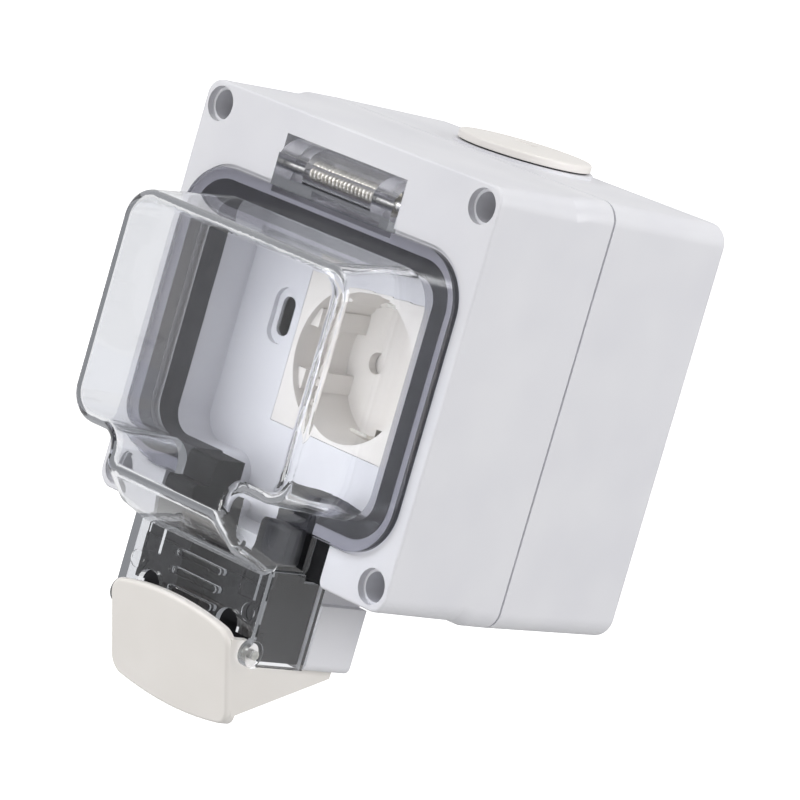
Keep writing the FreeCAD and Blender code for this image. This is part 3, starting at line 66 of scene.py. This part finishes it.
# Outline of the rim: half its width, its height, middle level and corners
RIM_HALF = 49.7 * MM
RIM_HEIGHT = 76.7 * MM
RIM_MIDDLE = -4.25 * MM
RIM_CORNER = 13.9 * MM
# A face of the rim's cut edge, which gets the painted dark, looks sideways and lies this
# close to the outline
EDGE_NEAR = 0.4 * MM
EDGE_SIDEWAYS = 0.5

# Hinge spring: diameter at the middle of its wire, the wire, its turns, and the steps
# and sides that draw them
COIL_MEAN = 5.4 * MM
COIL_WIRE = 1.1 * MM
COIL_TURNS = 17
COIL_STEPS = 28
WIRE_SIDES = 12

# Edges sharper than these angles, in degrees, are broken and stay crisp: on most
# pieces, on the cover and the box with their drafted walls, and on the round wire
SHARP = 35.0
SHARP_CASE = 18.0
SHARP_WIRE = 40.0
# Corners of the CAD mesh nearer than this are one, and faces flatter than this angle join
SAME_CORNER = 0.002 * MM
FLAT = 0.4


# Colours and nodes
def hex_colour(text):
    """sRGB hex such as DEDEE3 as a linear colour with alpha."""
    steps = [int(text[place:place + 2], 16) / 255 for place in (0, 2, 4)]
    linear = [
        step / 12.92 if step <= 0.04045 else ((step + 0.055) / 1.055) ** 2.4
        for step in steps
    ]
    return (*linear, 1.0)


def add_node(tree, kind, settings=None, links=None):
    """New node with its settings: names of properties or inputs, and links to its inputs."""
    node = tree.nodes.new(kind)
    for name, value in (settings or {}).items():
        if isinstance(name, str) and hasattr(node, name):
            setattr(node, name, value)
        else:
            node.inputs[name].default_value = value
    for name, socket in (links or {}).items():
        tree.links.new(socket, node.inputs[name])
    return node


def new_material(name, surface):
    """Material with a principled shader set from the surface's values."""
    material = bpy.data.materials.new(name)
    material.use_nodes = True
    tree = material.node_tree
    tree.nodes.clear()
    shader = add_node(tree, "ShaderNodeBsdfPrincipled", surface)
    add_node(tree, "ShaderNodeOutputMaterial", links={"Surface": shader.outputs[0]})
    place = add_node(tree, "ShaderNodeTexCoord")
    return material, tree, shader, place.outputs["Object"]


def swap_for_rays(tree, other, factor):
    """Show the other shader in place of what is there to the rays that the factor picks."""
    output = next(node for node in tree.nodes if node.type == "OUTPUT_MATERIAL")
    surface = output.inputs["Surface"]
    mix = add_node(
        tree, "ShaderNodeMixShader", links={0: factor, 1: surface.links[0].from_socket}
    )
    tree.links.new(other.outputs[0], mix.inputs[2])
    tree.links.new(mix.outputs[0], surface)


def plain_glow(tree, colour, strength):
    """Emission of one colour."""
    return add_node(
        tree, "ShaderNodeEmission", {"Color": hex_colour(colour), "Strength": strength}
    )


def grain(tree, place, size, detail=3.0):
    """Noise with grains of that size in metres."""
    return add_node(
        tree, "ShaderNodeTexNoise", {"Scale": 1 / size, "Detail": detail}, {"Vector": place}
    ).outputs["Fac"]


def vary_colour(tree, shader, factor, dark, light):
    """Colour that runs from dark to light with the factor, over the noise's middle range."""
    ramp = add_node(tree, "ShaderNodeValToRGB", links={"Fac": factor})
    for stop, position, colour in zip(ramp.color_ramp.elements, (0.35, 0.65), (dark, light)):
        stop.position = position
        stop.color = hex_colour(colour)
    tree.links.new(ramp.outputs["Color"], shader.inputs["Base Color"])


def vary_roughness(tree, shader, factor, smooth, rough):
    """Roughness that runs from smooth to rough with the factor."""
    span = add_node(
        tree, "ShaderNodeMapRange", {"To Min": smooth, "To Max": rough}, {"Value": factor}
    )
    tree.links.new(span.outputs["Result"], shader.inputs["Roughness"])


def raise_bumps(tree, shader, factor, height):
    """Bumps of that height in metres where the factor is high."""
    bump = add_node(
        tree, "ShaderNodeBump", {"Strength": 1.0, "Distance": height}, {"Height": factor}
    )
    tree.links.new(bump.outputs["Normal"], shader.inputs["Normal"])


# Materials
def moulded_abs(name, dark, light, smooth, rough):
    """Injection moulded plastic: slow drift of colour, soft gloss, spark-eroded texture.

    The real texture is about 0.05 mm wide, and it is drawn at 0.5 mm so that it shows.
    """
    material, tree, shader, place = new_material(
        name, {"IOR": 1.53, "Specular IOR Level": 0.5}
    )
    vary_colour(tree, shader, grain(tree, place, 26 * MM, 2.0), dark, light)
    fine = grain(tree, place, 0.5 * MM, 4.0)
    vary_roughness(tree, shader, fine, smooth, rough)
    raise_bumps(tree, shader, fine, 0.005 * MM)
    return material


# Light grey ABS of the cover and the box: satin, a little cool
GREY_ABS = moulded_abs("moulded_grey_abs", "D8D8DD", "DDDDE1", 0.34, 0.46)
# Warm white ABS of the insert, the cap, the latch and the shutter: a touch glossier
WHITE_ABS = moulded_abs("moulded_white_abs", "E3DFDA", "E8E4E0", 0.30, 0.40)
# Pale PBT of the base and the retainer inside: dull
BASE_PBT = moulded_abs("moulded_pale_pbt", "D8D6CE", "DEDCD5", 0.45, 0.6)


def moulded_rubber(name, dark, light):
    """Soft moulded EPDM rubber: dull, with a fine matt texture drawn at 0.35 mm to show."""
    material, tree, shader, place = new_material(
        name, {"IOR": 1.5, "Specular IOR Level": 0.1}
    )
    vary_colour(tree, shader, grain(tree, place, 6 * MM), dark, light)
    fine = grain(tree, place, 0.35 * MM, 4.0)
    vary_roughness(tree, shader, fine, 0.5, 0.7)
    raise_bumps(tree, shader, fine, 0.008 * MM)
    return material


# Near black EPDM of the block round the cable
RUBBER = moulded_rubber("moulded_epdm_rubber", "161618", "1E1E20")
# Dark grey EPDM of the seals
SEAL_RUBBER = moulded_rubber("moulded_seal_rubber", "414144", "4D4D51")


def clear_polycarbonate(name, tint, lets_in, rough, marks, ripple):
    """Clear polycarbonate with flow marks of that size and height.

    It lets the lamps' light through in the second colour, and glows a painted grey where
    light has bounced three times inside its wall.
    """
    material, tree, shader, place = new_material(name, {
        "Base Color": hex_colour(tint), "IOR": 1.585, "Roughness": rough,
        "Transmission Weight": 1.0,
    })
    raise_bumps(tree, shader, grain(tree, place, marks, 1.0), ripple)
    path = add_node(tree, "ShaderNodeLightPath")
    # painted grey glow: a ray that has bounced three times inside the wall shows a flat grey
    # emission in place of the light it would carry, so the edges come out grey
    painted_grey_glow_paths = add_node(
        tree, "ShaderNodeMath", {"operation": "GREATER_THAN", 1: 2.5},
        {0: path.outputs["Glossy Depth"]},
    )
    swap_for_rays(tree, plain_glow(tree, "8E9094", 1.0), painted_grey_glow_paths.outputs[0])
    open_wall = add_node(tree, "ShaderNodeBsdfTransparent", {"Color": hex_colour(lets_in)})
    swap_for_rays(tree, open_wall, path.outputs["Is Shadow Ray"])
    return material


# Polycarbonate of the bubble: polished, clear, with slow flow marks from moulding
CLEAR = clear_polycarbonate(
    "polished_clear_polycarbonate", "F8F9FB", "F8F9FB", 0.02, 14 * MM, 0.02 * MM
)
# The same moulding at its hinge: textured by the tool, so it looks hazy
HAZY = clear_polycarbonate(
    "textured_clear_polycarbonate", "FAFAFB", "FAFAFB", 0.13, 0.8 * MM, 0.006 * MM
)
# Flat rim of the lid: the same texture, with painted shade: its tint and the light it lets
# through are greyer, for the shade of the seal it lies close on
RIM_PAINTED_SHADE_CLEAR = clear_polycarbonate(
    "textured_rim_polycarbonate_painted_shade", "BEBEC3", "D8D8DC", 0.12, 0.8 * MM, 0.006 * MM
)
# Cut edge of the rim: light runs along inside it, so it looks nearly black; that darkness is
# painted into its tint and into the light it lets through
EDGE_PAINTED_DARK_CLEAR = clear_polycarbonate(
    "edge_polycarbonate_painted_dark", "2A2A2D", "707074", 0.1, 0.8 * MM, 0.006 * MM
)


def plated_metal(name, dark, light, smooth, rough):
    """Plated or stamped metal: bright, with a slightly uneven sheen."""
    material, tree, shader, place = new_material(name, {"Metallic": 1.0})
    vary_colour(tree, shader, grain(tree, place, 1.2 * MM), dark, light)
    fine = grain(tree, place, 0.25 * MM, 4.0)
    vary_roughness(tree, shader, fine, smooth, rough)
    raise_bumps(tree, shader, fine, 0.004 * MM)
    return material


# Zinc plated steel of the screws and pins: grey, satin
SCREW_ZINC = plated_metal("zinc_plated_steel", "A9A9A6", "C6C6C2", 0.28, 0.42)
# Nickel plated spring wire: bright, a little warm
SPRING_WIRE = plated_metal("nickel_plated_spring_wire", "E2DED2", "F4F1E8", 0.2, 0.32)
# Nickel plated brass of the earth clip: bright
NICKEL = plated_metal("nickel_plated_brass", "D2D0C8", "E8E6DE", 0.16, 0.28)
# Bare stamped brass of the contacts: yellow, satin
BRASS = plated_metal("stamped_brass", "C09A4A", "D8B466", 0.25, 0.4)


# Pieces
def finish_piece(name, shape, material, sharp=None):
    """Object in the scene from a bmesh, smooth but for its sharp edges if it has an angle."""
    mesh = bpy.data.meshes.new(name)
    shape.to_mesh(mesh)
    shape.free()
    mesh.materials.clear()
    mesh.materials.append(material)
    if sharp:
        for face in mesh.polygons:
            face.use_smooth = True
        mesh.set_sharp_from_angle(angle=math.radians(sharp))
    piece = bpy.data.objects.new(name, mesh)
    bpy.context.scene.collection.objects.link(piece)
    return piece


def dress(node, body, material, edge=0.25 * MM, sharp=SHARP):
    """Copy of a CAD node with merged corners, small rounded edges and smooth shading."""
    shape = bmesh.new()
    shape.from_mesh(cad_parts[node].data)
    bmesh.ops.remove_doubles(shape, verts=shape.verts, dist=SAME_CORNER)
    bmesh.ops.dissolve_limit(
        shape, angle_limit=math.radians(FLAT), verts=shape.verts, edges=shape.edges,
        use_dissolve_boundaries=False, delimit=set(),
    )
    corners = [
        item for item in shape.edges
        if len(item.link_faces) == 2 and item.calc_face_angle() > math.radians(sharp)
    ]
    bmesh.ops.bevel(
        shape, geom=corners, offset=edge, offset_type="OFFSET", segments=2,
        profile=0.5, affect="EDGES", clamp_overlap=True, material=-1,
    )
    piece = finish_piece(node + "_dressed", shape, material, sharp)
    even = piece.modifiers.new("even_normals", "WEIGHTED_NORMAL")
    even.keep_sharp = True
    even.weight = 100
    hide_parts(node)
    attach(piece, body)
    return piece


dress("front_cover", "case", GREY_ABS, sharp=SHARP_CASE)
dress("back_box", "case", GREY_ABS, sharp=SHARP_CASE)
dress("entry_cap", "case", WHITE_ABS)
dress("socket_face", "case", WHITE_ABS, edge=0.15 * MM)
dress("latch", "latch", WHITE_ABS)
lid = dress("lid", "lid", CLEAR, edge=0.2 * MM)
dress("cable_seal", "case", RUBBER, edge=0.4 * MM)
dress("lid_seal", "case", SEAL_RUBBER, edge=0.3 * MM)

# The lid is polished but for its hinge, its rim with painted shade and the rim's cut edge
# with painted dark
for material in (HAZY, RIM_PAINTED_SHADE_CLEAR, EDGE_PAINTED_DARK_CLEAR):
    lid.data.materials.append(material)
HINGE_FACE, RIM_PAINTED_SHADE_FACE, EDGE_PAINTED_DARK_FACE = 1, 2, 3
for face in lid.data.polygons:
    spot = face.center
    if spot.y < RIM_FRONT or spot.z < RIM_FOOT:
        continue
    # how far the face lies out from the rounded rectangle through the corners' centres
    out = Vector((
        max(abs(spot.x) - (RIM_HALF - RIM_CORNER), 0),
        max(abs(spot.z - RIM_MIDDLE) - (RIM_HEIGHT / 2 - RIM_CORNER), 0),
    )).length
    if spot.z > HINGE_FOOT:
        face.material_index = HINGE_FACE
    elif abs(face.normal.y) < EDGE_SIDEWAYS and abs(out - RIM_CORNER) < EDGE_NEAR:
        # painted dark on the rim's cut edge
        face.material_index = EDGE_PAINTED_DARK_FACE
    else:
        # painted shade on the rest of the rim
        face.material_index = RIM_PAINTED_SHADE_FACE

# CAD nodes that keep their shape
for material, nodes in (
    (SEAL_RUBBER, ("case_seal", "entry_cap_seal")),
    (SCREW_ZINC, ("cover_screws", "terminal_screws", "base_screws", "retainer_screws")),
    (SCREW_ZINC, ("hinge_pin", "latch_pin")),
    (SPRING_WIRE, ("hinge_spring", "shutter_spring")),
    (WHITE_ABS, ("shutter",)),
    (BASE_PBT, ("socket_base", "retainer")),
    (BRASS, ("contact_left", "contact_right")),
    (NICKEL, ("earth_clip",)),
):
    for node in nodes:
        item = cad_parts[node]
        item.data.materials.clear()
        item.data.materials.append(material)


def seal_strip(name, outer, inner, rear):
    """Rubber strip round the seat of the lid, between two insets from the seat's edge.

    It stands a little proud of the seat's floor and reaches back to the rear plane.
    """
    low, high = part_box("lid_seal")
    edge = SEAL_INSET - outer
    shape = bmesh.new()
    corners = [
        shape.verts.new((x, rear, z))
        for x, z in (
            (low[0] - edge, low[2] - edge), (high[0] + edge, low[2] - edge),
            (high[0] + edge, high[2] + edge), (low[0] - edge, high[2] + edge),
        )
    ]
    shape.faces.new(corners)
    bmesh.ops.bevel(
        shape, geom=corners, offset=SEAT_CORNER - outer, offset_type="OFFSET", segments=12,
        profile=0.5, affect="VERTICES", material=-1,
    )
    middle = list(shape.faces)
    bmesh.ops.inset_region(
        shape, faces=middle, thickness=inner - outer, use_even_offset=True, use_boundary=True
    )
    bmesh.ops.delete(shape, geom=middle, context="FACES")
    # the strip stops at the cable way below the tub
    for side in (-1, 1):
        bmesh.ops.bisect_plane(
            shape, geom=list(shape.verts) + list(shape.edges) + list(shape.faces),
            plane_co=(side * CABLE_WAY / 2, 0, 0), plane_no=(1, 0, 0),
        )
    crossing = [
        face for face in shape.faces
        if abs(face.calc_center_median().x) < CABLE_WAY / 2
        and face.calc_center_median().z < 0
    ]
    bmesh.ops.delete(shape, geom=crossing, context="FACES")
    raised = bmesh.ops.extrude_face_region(shape, geom=list(shape.faces))
    bmesh.ops.translate(
        shape, vec=(0, SEAT_FLOOR - SEAL_PROUD - rear, 0),
        verts=[item for item in raised["geom"] if isinstance(item, bmesh.types.BMVert)],
    )
    bmesh.ops.recalc_face_normals(shape, faces=shape.faces)
    piece = finish_piece(name, shape, SEAL_RUBBER)
    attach(piece, "case")


seal_strip("lid_seal_lip", LIP_OUTER, LIP_INNER, SEAT_FLOOR)
seal_strip("tub_lining", LIP_INNER, LINING_INNER, SEAT_FLOOR + LINING_DEPTH)


def wind_hinge_spring():
    """Close coil of round wire along the hinge, in place of the faceted one."""
    low, high = (Vector(corner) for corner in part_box("hinge_spring"))
    middle = (low + high) / 2
    start = Vector((low.x, middle.y, middle.z))
    axis = Vector((1, 0, 0))
    shape = bmesh.new()
    ring = bmesh.ops.create_circle(shape, segments=WIRE_SIDES, radius=COIL_WIRE / 2)["verts"]
    # the wire's section stands across the way of winding, out from the axis
    side = Vector((0, 0, 1))
    upright = Matrix((axis, side, axis.cross(side))).transposed()
    bmesh.ops.rotate(shape, verts=ring, matrix=upright)
    bmesh.ops.translate(
        shape, verts=ring, vec=start + side * (COIL_MEAN / 2) + axis * (COIL_WIRE / 2)
    )
    steps = COIL_TURNS * COIL_STEPS
    bmesh.ops.spin(
        shape, geom=list(shape.verts) + list(shape.edges), cent=start, axis=axis,
        dvec=axis * ((high.x - low.x - COIL_WIRE) / steps),
        angle=math.radians(360 * COIL_TURNS), steps=steps, use_duplicate=False,
    )
    bmesh.ops.holes_fill(shape, edges=[item for item in shape.edges if item.is_boundary])
    bmesh.ops.recalc_face_normals(shape, faces=shape.faces)
    piece = finish_piece("hinge_spring_round", shape, SPRING_WIRE, SHARP_WIRE)
    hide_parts("hinge_spring")
    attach(piece, "case")


wind_hinge_spring()

# Studio: pale floor, soft lights and the photograph's camera
FLOOR_LEVEL = -0.42
FLOOR_HALF = 30.0
sheet = bmesh.new()
bmesh.ops.create_grid(sheet, x_segments=1, y_segments=1, size=FLOOR_HALF)
bmesh.ops.translate(sheet, verts=sheet.verts, vec=(0, 0, FLOOR_LEVEL))
material, tree, shader, place = new_material("pale_floor", {
    "Base Color": hex_colour("FBFBFB"), "Roughness": 0.9, "Specular IOR Level": 0.1,
    "Emission Color": (1, 1, 1, 1),
})
# the floor is white to the eye and through the clear lid, and sends half of that to dull
# surfaces
path = add_node(tree, "ShaderNodeLightPath")
tree.links.new(path.outputs["Is Camera Ray"], shader.inputs["Emission Strength"])
swap_for_rays(tree, plain_glow(tree, "FBFBFC", 0.98), path.outputs["Is Transmission Ray"])
swap_for_rays(tree, plain_glow(tree, "FFFFFF", 0.5), path.outputs["Is Diffuse Ray"])
# in what glossy surfaces mirror it turns dark from 0.4 m to 1.2 m ahead of the wall
mirrored = add_node(
    tree, "ShaderNodeMath", {"operation": "SUBTRACT", "use_clamp": True},
    {0: path.outputs["Is Reflection Ray"], 1: path.outputs["Is Diffuse Ray"]},
)
spot = add_node(tree, "ShaderNodeSeparateXYZ", links={"Vector": place})
ahead = add_node(tree, "ShaderNodeMapRange", {
    "From Min": -0.4, "From Max": -1.2, "To Min": 0.0, "To Max": 1.0,
}, {"Value": spot.outputs["Y"]})
shade = add_node(
    tree, "ShaderNodeMath", {"operation": "MULTIPLY"},
    {0: mirrored.outputs[0], 1: ahead.outputs["Result"]},
)
swap_for_rays(tree, plain_glow(tree, "FFFFFF", 0.08), shade.outputs[0])
finish_piece("floor", sheet, material)

# Square soft lamps that face the socket: place, edge in metres and power in watts
MIDDLE = Vector((0, -0.05, -0.01))
for name, spot, edge, power in (
    ("key_light", (-0.7, -1.2, 0.9), 0.8, 11.0),
    ("front_light", (0.0, -1.5, -0.2), 0.6, 7.6),
    ("top_light", (0.2, 0.4, 1.5), 0.9, 6.2),
    ("side_light", (1.4, 0.4, 0.5), 0.9, 14.5),
):
    lamp = bpy.data.lights.new(name, "AREA")
    lamp.size = edge
    lamp.energy = power
    item = bpy.data.objects.new(name, lamp)
    item.location = spot
    item.rotation_euler = (MIDDLE - Vector(spot)).to_track_quat("-Z", "Y").to_euler()
    bpy.context.scene.collection.objects.link(item)

# The room is bright to the eye and in reflections, and dimmer as a lamp on dull surfaces
world = bpy.data.worlds.new("studio")
bpy.context.scene.world = world
world.use_nodes = True
room = world.node_tree.nodes["Background"]
room.inputs["Color"].default_value = (1, 1, 1, 1)
path = add_node(world.node_tree, "ShaderNodeLightPath")
strength = add_node(
    world.node_tree, "ShaderNodeMapRange", {"To Min": 0.8, "To Max": 0.40},
    {"Value": path.outputs["Is Diffuse Ray"]},
)
world.node_tree.links.new(strength.outputs["Result"], room.inputs["Strength"])

# Camera as it stood for the photograph: its place in metres, its axes, and a long lens in mm
CAMERA_SPOT = (0.9297, -1.0286, 0.1756)
RIGHT = Vector((0.6730, 0.6862, 0.2760)).normalized()
FORWARD = Vector((-0.6792, 0.7211, -0.1365)).normalized()
UP = RIGHT.cross(FORWARD).normalized()
camera_data = bpy.data.cameras.new("camera")
camera_data.sensor_width = 36
camera_data.lens = 244.34
camera_data.clip_start = 0.05
camera = bpy.data.objects.new("camera", camera_data)
turn = Matrix((RIGHT, UP, -FORWARD)).transposed().to_4x4()
camera.matrix_world = Matrix.Translation(CAMERA_SPOT) @ turn
bpy.context.scene.collection.objects.link(camera)
bpy.context.scene.camera = camera
bpy.context.scene.view_settings.view_transform = "Standard"
